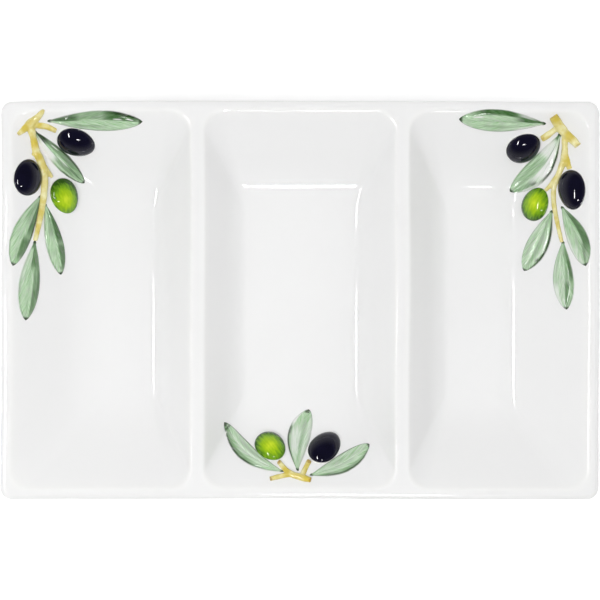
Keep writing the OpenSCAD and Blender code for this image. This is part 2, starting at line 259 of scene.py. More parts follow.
def lip_reach(basin, x, y):
    """How far the softening of a lip reaches: less along the outside than along a divider."""
    (left, right), (left_run, right_run) = BASIN_EDGES[basin], BASIN_RUNS[basin]
    from_outside, from_divider = HALF_WIDTH - np.abs(y), TRAY_LENGTH
    for away, run in ((x - left, left_run), (right - x, right_run)):
        if run == OUTER_RUN:
            from_outside = np.minimum(from_outside, away)
        else:
            from_divider = np.minimum(from_divider, away)
    return OUTER_LIP + (LIP_BLEND - OUTER_LIP) * nearer(from_divider, from_outside)


def foot_reach(basin, x, y):
    """How far the softening of a wall's foot reaches."""
    if basin < 2:
        return FLOOR_BLEND
    from_others = np.minimum(HALF_WIDTH - np.abs(y), x - SIDE_NEAR)
    return FLOOR_BLEND + (RIGHT_FOOT - FLOOR_BLEND) * nearer(SIDE_FAR - x, from_others)


print("foot of a wall: %.1f mm over the floor" % (inside_z(0.0, LIP_BLEND, FLOOR_BLEND) - FLOOR_Z))

# %% [markdown]
# The height of a wall at any place in plan: planes along the four sides, and in each corner a round that
# leans out with them and gets tighter towards the floor. How far a place on that round has dropped below
# the rim is the root of a quadratic equation. The tray's mesh and all the sprigs use these functions, so
# everything that lies on a wall lies exactly on it.

# %% Height of the walls
def wall_level(basin, x, y):
    """The level of a basin's wall at places in plan."""
    (left, right), (left_run, right_run) = BASIN_EDGES[basin], BASIN_RUNS[basin]
    leftmost = (x - left) / left_run < (right - x) / right_run
    dx = np.where(leftmost, x - left, right - x)
    dy = HALF_WIDTH - np.abs(y)
    fall_x = DEPTH / np.where(leftmost, left_run, right_run)
    fall_y = DEPTH / OUTER_RUN
    narrowing = (BASIN_CORNER - FLOOR_CORNER) / DEPTH
    lean_x, lean_y = 1 / fall_x - narrowing, 1 / fall_y - narrowing
    r = BASIN_CORNER
    qa = lean_x ** 2 + lean_y ** 2 - narrowing ** 2
    qb = (r - dx) * lean_x + (r - dy) * lean_y + r * narrowing
    qc = (r - dx) ** 2 + (r - dy) ** 2 - r ** 2
    root = qb ** 2 - qa * qc
    drop = (np.sqrt(np.maximum(root, 0)) - qb) / qa
    r = r - narrowing * drop
    cornered = (root >= 0) & (drop / fall_x + r > dx) & (drop / fall_y + r > dy)
    return DEPTH - np.where(cornered, drop, np.minimum(dx * fall_x, dy * fall_y))


def wall_z(basin, x, y):
    """The height of a basin's wall at places in plan."""
    return inside_z(wall_level(basin, x, y), lip_reach(basin, x, y), foot_reach(basin, x, y))


def wall_normal(basin, x, y, near=0.3):
    """Unit normals of a wall, from its heights close by."""
    slope_x = (wall_z(basin, x + near, y) - wall_z(basin, x - near, y)) / (2 * near)
    slope_y = (wall_z(basin, x, y + near) - wall_z(basin, x, y - near)) / (2 * near)
    normal = np.stack([-slope_x, -slope_y, np.ones_like(slope_x)], axis=-1)
    return normal / np.linalg.norm(normal, axis=-1, keepdims=True)


half_way = np.array(HALF_WIDTH - OUTER_RUN / 2)
print("wall half way down the back: %.1f mm" % wall_z(1, np.array(0.0), half_way))

# %% [markdown]
# Cast clay never dries and fires quite true. One smooth warp of a few tenths of a millimetre goes over
# every piece alike, so the highlights wander a little as they do on the real dish, and the sprigs stay
# seated. It fades out towards the table, where the feet are ground flat. Waves of 240 to 380 mm carry
# most of it, and waves of 105 to 145 mm lie on top. Where they start is a free choice.

# %% Warp of the firing
WARP = 0.3


def fired(points):
    """Points in millimetres, moved a little as the kiln does it."""
    x, y, z = points[:, 0], points[:, 1], points[:, 2]
    rise = np.clip(z / RIM_Z, 0, 1)
    moved = points.copy()
    moved[:, 0] += WARP * rise * (np.sin(y / 47 + 0.8) + 0.5 * np.sin(y / 19 + x / 80))
    moved[:, 1] += WARP * rise * (np.sin(x / 61 + 2.1) + 0.4 * np.sin(x / 23 - y / 70))
    heave = np.sin(x / 38 + 0.4) * np.cos(y / 44 + 1.0) + 0.4 * np.sin((x - y) / 17)
    moved[:, 2] += WARP * rise * heave
    return moved


print("warp of %.1f mm" % WARP)

# %% [markdown]
# Every piece is made in the same way. Its points are warped and turned into metres, points that meet are
# joined, it gets its material, it rides on the frame's root body, and the CAD node it stands for is
# hidden. Marks of paint are numbers on the points that a material reads.

# %% Pieces
JOINED = 1e-7


def add_piece(name, points, faces, material, node, marks):
    """A mesh piece in metres that stands for a CAD node, with marks of paint on its points."""
    mesh = bpy.data.meshes.new(name)
    mesh.from_pydata((fired(np.asarray(points)) * MM).tolist(), [], faces)
    for mark, values in marks.items():
        attribute = mesh.attributes.new(mark, "FLOAT", "POINT")
        attribute.data.foreach_set("value", np.asarray(values, dtype=np.float32))
    shape = bmesh.new()
    shape.from_mesh(mesh)
    bmesh.ops.remove_doubles(shape, verts=shape.verts, dist=JOINED)
    bmesh.ops.recalc_face_normals(shape, faces=shape.faces)
    shape.to_mesh(mesh)
    shape.free()
    mesh.shade_smooth()
    mesh.materials.append(material)
    piece = bpy.data.objects.new(name, mesh)
    bpy.context.scene.collection.objects.link(piece)
    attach(piece, "root")
    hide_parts(node)
    print("%s: %d points, %d faces" % (name, len(mesh.vertices), len(mesh.polygons)))


print("points closer than %g m are joined" % JOINED)

# %% [markdown]
# White earthenware under a clear gloss glaze: the clay body is nearly white, and the glaze over it is a
# thin coat of glass that gives sharp highlights. One shader is enough for both: its base colour is the
# clay, and its specular layer, with the IOR of glass, is the glaze. It is never quite even: its
# thickness clouds the white a little over 60 mm, it draws thin on the lips, where the warmer clay shows,
# and it has faint ripples about 15 mm long. The feet are wiped clean before firing, so their faces are
# dry, matt biscuit.

# %% White glaze
GLAZE_IOR, GLAZE_ROUGHNESS, BISCUIT_ROUGHNESS = 1.5, 0.04, 0.85
RIPPLE, RIPPLE_HEIGHT = 15 * MM, 0.15 * MM
CLOUD = 60 * MM
FOOT_FACE = 0.35 * MM


def clear_glaze(tree, links):
    """Ends a material with the clear gloss glaze over what comes in by the links."""
    glaze = add_node(tree, "BsdfPrincipled", values={"IOR": GLAZE_IOR, "Roughness": GLAZE_ROUGHNESS},
                     links=links)
    add_node(tree, "OutputMaterial", links={"Surface": glaze})


white_glaze, tree = new_material("white_earthenware_clear_glaze")
place = add_node(tree, "TexCoord").outputs["Object"]
cloud = add_node(tree, "TexNoise", values={"Scale": 1 / CLOUD, "Detail": 2.0}, links={"Vector": place})
thin = add_node(tree, "Attribute", {"attribute_name": "thin_glaze"}).outputs["Fac"]
height = add_node(tree, "SeparateXYZ", links={0: place}).outputs["Z"]
dry = add_node(tree, "Math", {"operation": "LESS_THAN"}, {1: FOOT_FACE}, {0: height})
body = add_node(tree, "Mix", COLOUR_MIX, {6: linear("#F1F1F1"), 7: linear("#EEEEEE")}, {0: cloud})
for colour, amount in (("#F2F2F1", thin), ("#E6DCCB", dry)):
    body = add_node(tree, "Mix", COLOUR_MIX, {7: linear(colour)}, {0: amount, 6: body})
matt = add_node(tree, "MapRange", values={"To Min": GLAZE_ROUGHNESS, "To Max": BISCUIT_ROUGHNESS},
                links={"Value": dry})
ripple = add_node(tree, "TexNoise", values={"Scale": 1 / RIPPLE, "Detail": 1.0}, links={"Vector": place})
bump = add_node(tree, "Bump", values={"Strength": 0.25, "Distance": RIPPLE_HEIGHT},
                links={"Height": ripple})
clear_glaze(tree, {"Base Color": body, "Roughness": matt, "Normal": bump})
print(white_glaze.name)

# %% [markdown]
# The tray is lofted in three thirds, one for each basin. A third is a stack of rings: out from the
# middle of the floor, up the wall, over the lip, round the rolled edge, and back under the clay to the
# foot. The thirds meet on the middle lines of the dividers, where their points are merged. Basins could
# be cut out of a block, but the cuts would meet in ragged edges. Rings put points just where the clay
# curves, so the highlights run clean.

# %% Rings of the tray
CORNER_POINTS, SIDE_STEP = 12, 5.0


def side_points(length):
    """How many steps a side of a ring is cut into."""
    return max(2, int(round(length / SIDE_STEP)))


def ring(x, y, radii, z, counts):
    """A level ring with round corners, anticlockwise from the back right, with points along its sides."""
    points = []
    centres = []
    for corner in range(4):
        sx = 1 if corner in (0, 3) else -1
        sy = 1 if corner < 2 else -1
        centres.append((x[sx > 0] - sx * radii[corner], y[sy > 0] - sy * radii[corner]))
    for corner in range(4):
        (cx, cy), r = centres[corner], radii[corner]
        turns = math.pi / 2 * (corner + np.arange(CORNER_POINTS + 1) / CORNER_POINTS)
        arc = np.stack([cx + r * np.cos(turns), cy + r * np.sin(turns)], axis=1)
        (nx, ny), nr = centres[(corner + 1) % 4], radii[(corner + 1) % 4]
        after = math.pi / 2 * (corner + 1)
        goal = np.array([nx + nr * math.cos(after), ny + nr * math.sin(after)])
        steps = np.arange(1, counts[corner % 2])[:, None] / counts[corner % 2]
        points += [arc, arc[-1] + (goal - arc[-1]) * steps]
    flat = np.concatenate(points)
    return np.column_stack([flat, np.full(len(flat), z)])


print("points along the middle basin:", side_points(MIDDLE_LENGTH))

# %% [markdown]
# Three outlines make all the rings: a basin's wall at a level, on its inside or on the underside of the
# clay, the outer edge of a third, and a floor's ring drawn towards its middle.

# %% Outlines of a third
CORNER_LIMIT, SMALLEST_CORNER = 0.45, 0.5


def wall_offset(run):
    """How far the outside of a wall lies beyond its inside, measured level."""
    return CLAY * math.hypot(run, DEPTH) / DEPTH


def basin_ring(basin, level, z, counts, out=0, inset=0.0):
    """A wall at a level; out moves it to the underside of the clay, and inset draws it in."""
    sink = 1 - level / DEPTH
    left_run, right_run = BASIN_RUNS[basin]
    left = BASIN_EDGES[basin][0] + left_run * sink - out * wall_offset(left_run)
    right = BASIN_EDGES[basin][1] - right_run * sink + out * wall_offset(right_run)
    side = HALF_WIDTH - OUTER_RUN * sink + out * wall_offset(OUTER_RUN)
    corner = BASIN_CORNER + out * CLAY - (1 - out) * sink * (BASIN_CORNER - FLOOR_CORNER)
    r = min(corner, CORNER_LIMIT * min(right - left, 2 * side))
    r = max(r - inset, SMALLEST_CORNER)
    return ring((left + inset, right - inset), (-side + inset, side - inset), (r,) * 4, z, counts)


def cell_ring(basin, inset, z, counts):
    """The edge of a third of the tray: drawn in along the tray's own edges, not along a divider."""
    left = inset if basin == 0 else 0
    right = inset if basin == 2 else 0
    x = (CELL_EDGES[basin][0] + left, CELL_EDGES[basin][1] - right)
    y = TRAY_WIDTH / 2 - inset
    left_r = TRAY_CORNER - inset if basin == 0 else 0
    right_r = TRAY_CORNER - inset if basin == 2 else 0
    return ring(x, (-y, y), (right_r, left_r, left_r, right_r), z, counts)


def shrunk(outline, share):
    """A ring drawn towards its middle line, for the flat of a floor."""
    middle = outline.mean(axis=0)
    return middle + (outline - middle) * np.array([share, share, 1])


print("clay of %.1f mm is %.1f mm wide, measured level" % (CLAY, wall_offset(OUTER_RUN)))

# %% [markdown]
# Curved stretches get many rings and flat ones few. The underside follows the same levels a clay's
# thickness away, and ends in the foot ring, whose lower edges are softened.

# %% Rings from floor to foot
BLEND_STEPS, WALL_STEPS, ROLL_STEPS = 20, 6, 10
FLAT_SHARES = (0.03, 0.25, 0.5, 0.75, 0.92)
RIM_DROP, ROLL_THIN = 5.06, 0.8
FOOT_SOFT, FOOT_ROUND = 0.4, 0.3


def tray_third(basin):
    """The rings of a third, which of them are the rolled rim, and how thin the glaze is on each."""
    counts = (side_points(CELL_EDGES[basin][1] - CELL_EDGES[basin][0]), side_points(TRAY_WIDTH))
    blend = np.linspace(-1, 1, BLEND_STEPS + 1)
    wall = np.linspace(FLOOR_BLEND, DEPTH - LIP_BLEND, WALL_STEPS + 1)[1:-1]
    levels = np.concatenate([FLOOR_BLEND * blend, wall, DEPTH + LIP_BLEND * blend])
    rings = [basin_ring(basin, level, 0.0, counts) for level in levels]
    for level, points in zip(levels, rings):
        x, y = points[:, 0], points[:, 1]
        points[:, 2] = inside_z(level, lip_reach(basin, x, y), foot_reach(basin, x, y))
    thin = [float(np.exp(-((level - DEPTH) / LIP_BLEND) ** 2)) for level in levels]
    rings = [shrunk(rings[0], share) for share in FLAT_SHARES] + rings
    thin = [0.0] * len(FLAT_SHARES) + thin
    roll_start = len(rings)
    turns = np.linspace(0, math.pi / 2, ROLL_STEPS + 1)
    rim_under = RIM_Z - RIM_DROP
    roll = [(ROLL_RUN * (1 - math.sin(a)), RIM_Z - ROLL_DROP * (1 - math.cos(a))) for a in turns]
    roll += [(ROLL_DROP * (1 - math.cos(a)), rim_under + ROLL_DROP * (1 - math.sin(a))) for a in turns]
    rings += [cell_ring(basin, inset, z, counts) for inset, z in roll]
    thin += [ROLL_THIN * math.sin(math.pi * i / (len(roll) - 1)) for i in range(len(roll))]
    roll_end = len(rings) - 1
    under = np.concatenate([[DEPTH - RIM_DROP], UNDER_BLEND * blend[::-1] - CLAY])
    under_z = FOOT_HEIGHT + soft_positive(under + CLAY, UNDER_BLEND)
    rings += [basin_ring(basin, level, float(z), counts, 1) for level, z in zip(under, under_z)]
    soft, part = FOOT_SOFT, FOOT_SOFT * FOOT_ROUND
    foot = ((0, soft), (part, part), (soft, 0), (FOOT_WIDTH - soft, 0), (FOOT_WIDTH - part, part),
            (FOOT_WIDTH, soft), (FOOT_WIDTH, FOOT_HEIGHT))
    rings += [basin_ring(basin, under[-1], z, counts, 1, inset) for inset, z in foot]
    rings += [shrunk(rings[-1], share) for share in FLAT_SHARES[::-1]]
    thin += [0.0] * (len(rings) - len(thin))
    return rings, range(roll_start, roll_end), thin, counts


print("rings in a third:", len(tray_third(1)[0]))

# %% [markdown]
# The rings are joined by strips of faces, and fans close the floor and the underside. Along a divider
# the rolled rim is left out, because the next third goes on there.

# %% The tray
def ring_faces(first, rings, size, left_out=()):
    """Faces between rings of points that follow each other, but for some (ring, place)."""
    faces = []
    for i in range(rings - 1):
        for k in range(size):
            a, b = first + i * size + k, first + i * size + (k + 1) % size
            if (i, k) not in left_out:
                faces.append((a, b, b + size, a + size))
    return faces


def fan_faces(middle, first, size):
    """Faces from a middle point to the ring round it."""
    return [(middle, first + k, first + (k + 1) % size) for k in range(size)]


def on_divider(basin, index, counts):
    """Whether a side's point lies along a divider's middle line."""
    left_start = 2 * CORNER_POINTS + counts[0]
    right_start = 2 * left_start + counts[1]
    along_left = basin > 0 and left_start <= index < left_start + counts[1]
    along_right = basin < 2 and index >= right_start
    return along_left or along_right


tray_points, tray_faces, tray_thin = [], [], []
for basin in range(3):
    rings, roll, thin, counts = tray_third(basin)
    size = len(rings[0])
    first = sum(len(p) for p in tray_points)
    last = first + (len(rings) - 1) * size
    left_out = {(i, k) for i in roll for k in range(size) if on_divider(basin, k, counts)}
    tray_faces += ring_faces(first, len(rings), size, left_out)
    tray_faces += fan_faces(last + size, first, size) + fan_faces(last + size + 1, last, size)
    middles = [end.mean(axis=0)[None, :] for end in (rings[0], rings[-1])]
    tray_points.append(np.concatenate(rings + middles))
    tray_thin += [value for value in thin for k in range(size)] + [0.0, 0.0]
add_piece("tray", np.concatenate(tray_points), tray_faces, white_glaze, "dish_body",
          {"thin_glaze": tray_thin})

# %% [markdown]
# The sprigs are clay reliefs, pressed in small moulds and stuck on with slip. Each is placed by two
# numbers: how far in from the side edge and from the back edge of its basin, or, for the front sprig,
# along the front edge and in from it. The wall under a place gives its height and its slope. A
# shrinkwrap modifier could press flat shapes onto the tray, but the wall's own functions seat them
# exactly and let them rise square to it.

# %% Places on the walls
BEDDED = 0.25


def sprig_place(basin, point):
    """A place in plan, from a sprig's own two numbers."""
    u, v = point[0], point[1]
    if basin == 0:
        return np.array([u - SIDE_FAR, HALF_WIDTH - v])
    if basin == 1:
        return np.array([u, v - HALF_WIDTH])
    return np.array([SIDE_FAR - u, HALF_WIDTH - v])


def on_wall(basin, plan, lift):
    """Points above the wall at places in plan, lifted square to it."""
    x, y = plan[..., 0], plan[..., 1]
    foot = np.stack([x, y, wall_z(basin, x, y)], axis=-1)
    return foot + wall_normal(basin, x, y) * lift[..., None]


def closed_grid(rows, columns):
    """Faces of a pad with an upper and a lower grid of points, joined round the border."""
    count = rows * columns
    faces = []
    for i in range(rows - 1):
        for j in range(columns - 1):
            a = i * columns + j
            quad = (a, a + 1, a + columns + 1, a + columns)
            faces += [quad, tuple(count + k for k in reversed(quad))]
    row, column = rows - 1, columns - 1
    border = [i * columns for i in range(row)] + [row * columns + j for j in range(column)]
    border += [i * columns + column for i in range(row, 0, -1)] + list(range(column, 0, -1))
    for k, a in enumerate(border):
        b = border[(k + 1) % len(border)]
        faces.append((a, b, count + b, count + a))
    return faces


print("the left sprig's own zero is at", sprig_place(0, (0, 0)))

# %% [markdown]
# Olive leaves are brushed with a thin sage green underglaze that lets the white clay through. The
# strokes run along the leaf and out from its vein, so the colour is streaky: pale where the brush was
# dry, darker along one edge where the colour pooled, and nearly black-green at the stalk and the tip,
# where the painter put the brush down. The clear glaze covers it all. The marks shade, ink and
# bare_and_glint come with each leaf's points, and the streaks are a noise drawn out along it, which also
# frays the edges of the marks. The white of bare_and_glint is mostly bare clay, but some of its strokes
# are painted highlights: white glints where the glaze would catch a lamp.

# %% Leaf paint
STROKE_LENGTH, STROKE_WIDTH, STROKES_APART = 9.0, 0.6, 7.0
PATCH_LENGTH, PATCH_WIDTH, PATCHES_APART = 7.0, 2.5, 5.0
BRUSH_RELIEF = 0.12 * MM

leaf_paint, tree = new_material("sage_underglaze_brushed_clear_glaze")
marks = {}
for mark in ("along", "vein", "shade", "ink", "bare_and_glint", "seed"):
    marks[mark] = add_node(tree, "Attribute", {"attribute_name": mark}).outputs["Fac"]
brushed = add_node(tree, "CombineXYZ", links={0: marks["along"], 1: marks["vein"], 2: marks["seed"]})
stroke_place = add_node(tree, "VectorMath", {"operation": "MULTIPLY"},
                        {1: (1 / STROKE_LENGTH, 1 / STROKE_WIDTH, STROKES_APART)}, {0: brushed})
strokes = add_node(tree, "TexNoise", values={"Scale": 1.0, "Detail": 4.0, "Roughness": 0.65},
                   links={"Vector": stroke_place})
streak = add_node(tree, "MapRange", values={"From Min": 0.33, "From Max": 0.67}, links={"Value": strokes})
patch_place = add_node(tree, "VectorMath", {"operation": "MULTIPLY"},
                       {1: (1 / PATCH_LENGTH, 1 / PATCH_WIDTH, PATCHES_APART)}, {0: brushed})
patches = add_node(tree, "TexNoise", values={"Scale": 1.0, "Detail": 2.0}, links={"Vector": patch_place})
paint = add_node(tree, "Mix", COLOUR_MIX, {6: linear("#88B57F"), 7: linear("#D4E7CE")}, {0: streak})


def frayed(mark, depth):
    """A mark of paint whose edge is frayed by the streaks and patches of the brush."""
    patchy = add_node(tree, "Math", {"operation": "MULTIPLY_ADD"}, {1: depth, 2: -depth / 2}, {0: patches})
    streaky = add_node(tree, "Math", {"operation": "MULTIPLY_ADD"}, {1: depth}, {0: strokes, 2: patchy})
    total = add_node(tree, "Math", {"operation": "ADD"}, links={0: mark, 1: streaky})
    return add_node(tree, "MapRange", values={"From Min": depth / 2, "From Max": 1.0 + depth / 2},
                    links={"Value": total})


# The white layer is bare clay, and painted highlights where some strokes stand for glints of the glaze.
for mark, colour, fray in (("shade", "#35602A", 0.9), ("ink", "#1C3314", 0.4), ("bare_and_glint", "#EFEFEE", 0.7)):
    amount = frayed(marks[mark], fray)
    paint = add_node(tree, "Mix", COLOUR_MIX, {7: linear(colour)}, {0: amount, 6: paint})
bump = add_node(tree, "Bump", values={"Strength": 0.3, "Distance": BRUSH_RELIEF}, links={"Height": strokes})
clear_glaze(tree, {"Base Color": paint, "Normal": bump})
print(leaf_paint.name)

# %% [markdown]
# A leaf is a thin pad that follows the wall: narrow at the stalk, widest past the middle, and pointed,
# with a crest along each half and a sunk vein between. Round it runs a narrow skirt of slip, left white.
# A leaf has a name, a basin, the places of its base and its tip, its width, and how far it bows to the
# left of the way to the tip.

# %% Leaves
LEAVES = (
    ("left_top_leaf", 0, (20.8, 5.4), (76.8, 6.2), 10.8, 0.5),
    ("left_inner_leaf", 0, (12.8, 10.6), (41, 41.2), 9.4, -0.6),
    ("left_outer_leaf", 0, (16.2, 48.6), (0.8, 90.2), 10.6, -1.8),
    ("left_lower_leaf", 0, (18.4, 53.1), (27.6, 95.6), 9.4, 0.2),
    ("left_tip_leaf", 0, (13, 75.2), (8, 122.3), 11, -0.4),
    ("right_top_leaf", 2, (24.8, 6.8), (76, 4.5), 11.9, -0.5),
    ("right_inner_leaf", 2, (16.2, 12), (44.2, 46.2), 13.9, 4.2),
    ("right_outer_leaf", 2, (15.3, 55), (2, 90.4), 10.9, 1.6),
    ("right_lower_leaf", 2, (20.4, 57.3), (36.2, 93.2), 11.8, 0.8),
    ("right_tip_leaf", 2, (14.4, 75.4), (12.6, 116), 10.8, -0.9),
    ("front_left_leaf", 1, (-9.2, 9.4), (-44.8, 38.2), 9.4, 5.6),
    ("front_middle_leaf", 1, (-1.2, 9.7), (5.3, 45.5), 12.8, 3),
    ("front_right_leaf", 1, (5.8, 7.4), (41.2, 25.4), 10.2, -2.9),
)
print("leaves:", len(LEAVES))

# %% [markdown]
# The painting of the leaves, stroke by stroke, under the mark that it makes. A stroke has its reach
# across the leaf, where -100 and 100 are the two edges and plus is on the left of the way to the tip,
# its reach along the leaf, where 0 is the base and 100 the tip, and its strength, all in hundredths. A
# reach of 120 goes over the edge. Every leaf also gets a dark dab at its base and one at its tip.

# %% Strokes on the leaves
STROKES = {
    "left_top_leaf": {
        "shade": ((35, 120, 10, 62, 50), (20, 120, 58, 97, 95), (15, 75, 6, 34, 90),
                  (-65, -30, 25, 60, 35)),
        "ink": ((80, 120, 66, 100, 90), (30, 120, 0, 10, 60), (60, 120, 4, 30, 60)),
        # The two short white strokes near the tip are painted glints of the glaze.
        "bare_and_glint": ((28, 38, 70, 78, 120), (40, 50, 83, 90, 120))},
    "left_inner_leaf": {
        "shade": ((25, 120, 5, 95, 60), (-65, -15, 40, 90, 50), (-20, 20, 62, 95, 75)),
        "ink": ((84, 120, 30, 100, 80), (-40, 120, 0, 22, 95), (-120, -86, 62, 100, 70)),
        # The white on the lower left edge is bare clay and painted highlight; the small white spot is a
        # painted glint.
        "bare_and_glint": ((-120, -20, 12, 46, 95), (-10, 6, 45, 68, 50), (60, 72, 30, 40, 100))},
    "left_outer_leaf": {
        "shade": ((30, 120, 3, 62, 85), (10, 120, 58, 90, 80), (-60, 30, 3, 40, 35)),
        "ink": ((82, 120, 10, 66, 75),)},
    "left_lower_leaf": {
        "shade": ((20, 120, 6, 60, 95), (20, 120, 55, 95, 85), (-60, 20, 5, 45, 35)),
        "ink": ((85, 120, 8, 60, 55), (-30, 30, 88, 93, 40))},
    "left_tip_leaf": {
        "shade": ((25, 120, 5, 92, 60), (65, 120, 30, 90, 85), (-20, 80, 5, 36, 75),
                  (25, 120, 55, 95, 75), (-120, 120, 0, 10, 70)),
        "bare_and_glint": ((-120, -70, 12, 55, 30),)},
    "right_top_leaf": {
        "shade": ((-120, -15, 0, 33, 95), (-120, -62, 28, 82, 100), (-6, 8, 20, 90, 30),
                  (35, 60, 40, 75, 35)),
        # The last white stroke, near the tip, is a painted highlight.
        "bare_and_glint": ((-120, -80, 12, 30, 50), (55, 120, 5, 36, 50), (-50, -38, 72, 84, 100))},
    "right_inner_leaf": {
        "shade": ((-25, 5, 40, 95, 30), (-70, -30, 40, 90, 30), (-120, 20, 0, 10, 80),
                  (30, 80, 70, 95, 40)),
        "ink": ((86, 120, 10, 64, 95), (10, 20, 10, 42, 55), (46, 56, 22, 50, 50), (55, 90, 68, 75, 70)),
        # The white of the right half is bare clay and painted glints of the glaze.
        "bare_and_glint": ((-120, 10, 12, 36, 75), (22, 85, 14, 66, 90), (80, 120, 64, 92, 60))},
    "right_outer_leaf": {
        "shade": ((45, 120, 5, 82, 85), (20, 60, 66, 97, 60), (-10, 10, 15, 85, 15)),
        "bare_and_glint": ((-120, -75, 40, 95, 60), (-70, -20, 66, 95, 35))},
    "right_lower_leaf": {
        "shade": ((5, 45, 8, 90, 40), (-60, -40, 30, 80, 30)),
        "ink": ((86, 120, 10, 92, 90), (65, 90, 74, 80, 80)),
        # The first white stroke, along the right edge, is a painted glint.
        "bare_and_glint": ((60, 76, 38, 84, 40), (-120, 60, 10, 92, 12))},
    "right_tip_leaf": {
        "shade": ((35, 120, 8, 62, 45), (20, 75, 60, 94, 85), (70, 120, 10, 62, 85),
                  (-70, -50, 25, 70, 25)),
        "bare_and_glint": ((-120, -45, 62, 95, 60), (-12, 12, 84, 95, 70), (-120, 30, 36, 90, 20))},
    "front_left_leaf": {
        "shade": ((55, 120, 30, 100, 55), (20, 60, 64, 95, 40), (-60, -20, 25, 70, 35)),
        "ink": ((86, 120, 35, 96, 90), (-120, -90, 25, 95, 60), (-120, 120, 92, 95, 80)),
        "bare_and_glint": ((-15, 15, 15, 90, 40), (-120, 50, 10, 90, 20))},
    "front_middle_leaf": {
        "ink": ((88, 120, 8, 70, 85), (78, 120, 55, 68, 70), (-60, 60, 93, 96, 90)),
        "shade": ((-50, -10, 15, 90, 30), (50, 80, 30, 60, 30)),
        "bare_and_glint": ((10, 70, 20, 66, 60), (-15, 15, 20, 62, 50), (-120, -60, 10, 90, 45),
                 (-70, 20, 12, 90, 12), (72, 120, 70, 92, 80))},
    "front_right_leaf": {
        "shade": ((-120, -65, 8, 97, 40), (10, 50, 30, 80, 30)),
        "ink": ((-120, -88, 10, 97, 75), (91, 120, 30, 95, 50)),
        "bare_and_glint": ((-6, 6, 15, 90, 40), (-60, 120, 10, 95, 15))},
}
print("strokes:", sum(len(group) for leaf in STROKES.values() for group in leaf.values()))

# %% [markdown]
# At any place the strongest stroke of a mark counts. Besides the strokes there is a shade along the edge
# of every leaf, the dabs at its ends, and bare slip past its edge. All this lies on the leaf's points as
# numbers, so the paint follows the leaf wherever it bends, and needs no picture.

# %% Painting of a leaf
SOFT_ACROSS, SOFT_ALONG = 0.06, 0.25
EDGE_SHADE, EDGE_REACH, BARE_REACH = 0.5, (0.86, 0.97), (1.0, 1.015)
DAB, BASE_DAB, TIP_DAB = 0.95, (0.06, 0.02), (0.945, 0.975)


def stroke_mark(across, along, start_s, end_s, start_t, end_t):
    """How much of a stroke lies at places across and along a leaf."""
    wide = smooth_step(start_s - SOFT_ACROSS, start_s + SOFT_ACROSS, across)
    wide = wide * smooth_step(end_s + SOFT_ACROSS, end_s - SOFT_ACROSS, across)
    soft = SOFT_ALONG * (end_t - start_t)
    long = smooth_step(start_t - soft, start_t + soft, along)
    return wide * long * smooth_step(end_t + soft, end_t - soft, along)


def leaf_painting(name, t, s):
    """The marks of paint at places along and across a leaf: its edge, its dabs and its strokes."""
    paint = {"shade": EDGE_SHADE * smooth_step(*EDGE_REACH, np.abs(s)) + 0 * t,
             "ink": DAB * (smooth_step(*BASE_DAB, t) + smooth_step(*TIP_DAB, t)) + 0 * s,
             "bare_and_glint": smooth_step(*BARE_REACH, np.abs(s)) + 0 * t}
    for mark, strokes in STROKES[name].items():
        for stroke in strokes:
            *reach, strength = np.array(stroke) / 100
            paint[mark] = np.maximum(paint[mark], strength * stroke_mark(s, t, *reach))
    return paint


print("dab of a tip: from %.3f of the way" % TIP_DAB[0])

# %% [markdown]
# The leaf itself is a closed pad of points, in rows from base to tip and in columns from edge to edge.

# %% Leaf meshes
LEAF_CREST, LEAF_EDGE, CREST_POWER = 1.9, 0.55, 0.6
VEIN_DEPTH, VEIN_SHARE = 0.65, 0.17
BASE_BLUNT, TIP_BLUNT, END_ROUND, SHARPEST = 0.13, 0.07, 0.025, 0.01
BASE_SLOPE, TIP_SLOPE, THIN_SHARE = 0.04, 0.03, 0.25
LEAF_SKIRT = 0.7
LEAF_ROWS, LEAF_COLUMNS = 72, 33
BASE_POWER, TIP_POWER = 1.15, 0.8
FEATHER, HALVES_APART = 0.22, 60


def swell(t):
    """How a leaf's width grows and shrinks along it."""
    return t ** BASE_POWER * (1 - t) ** TIP_POWER


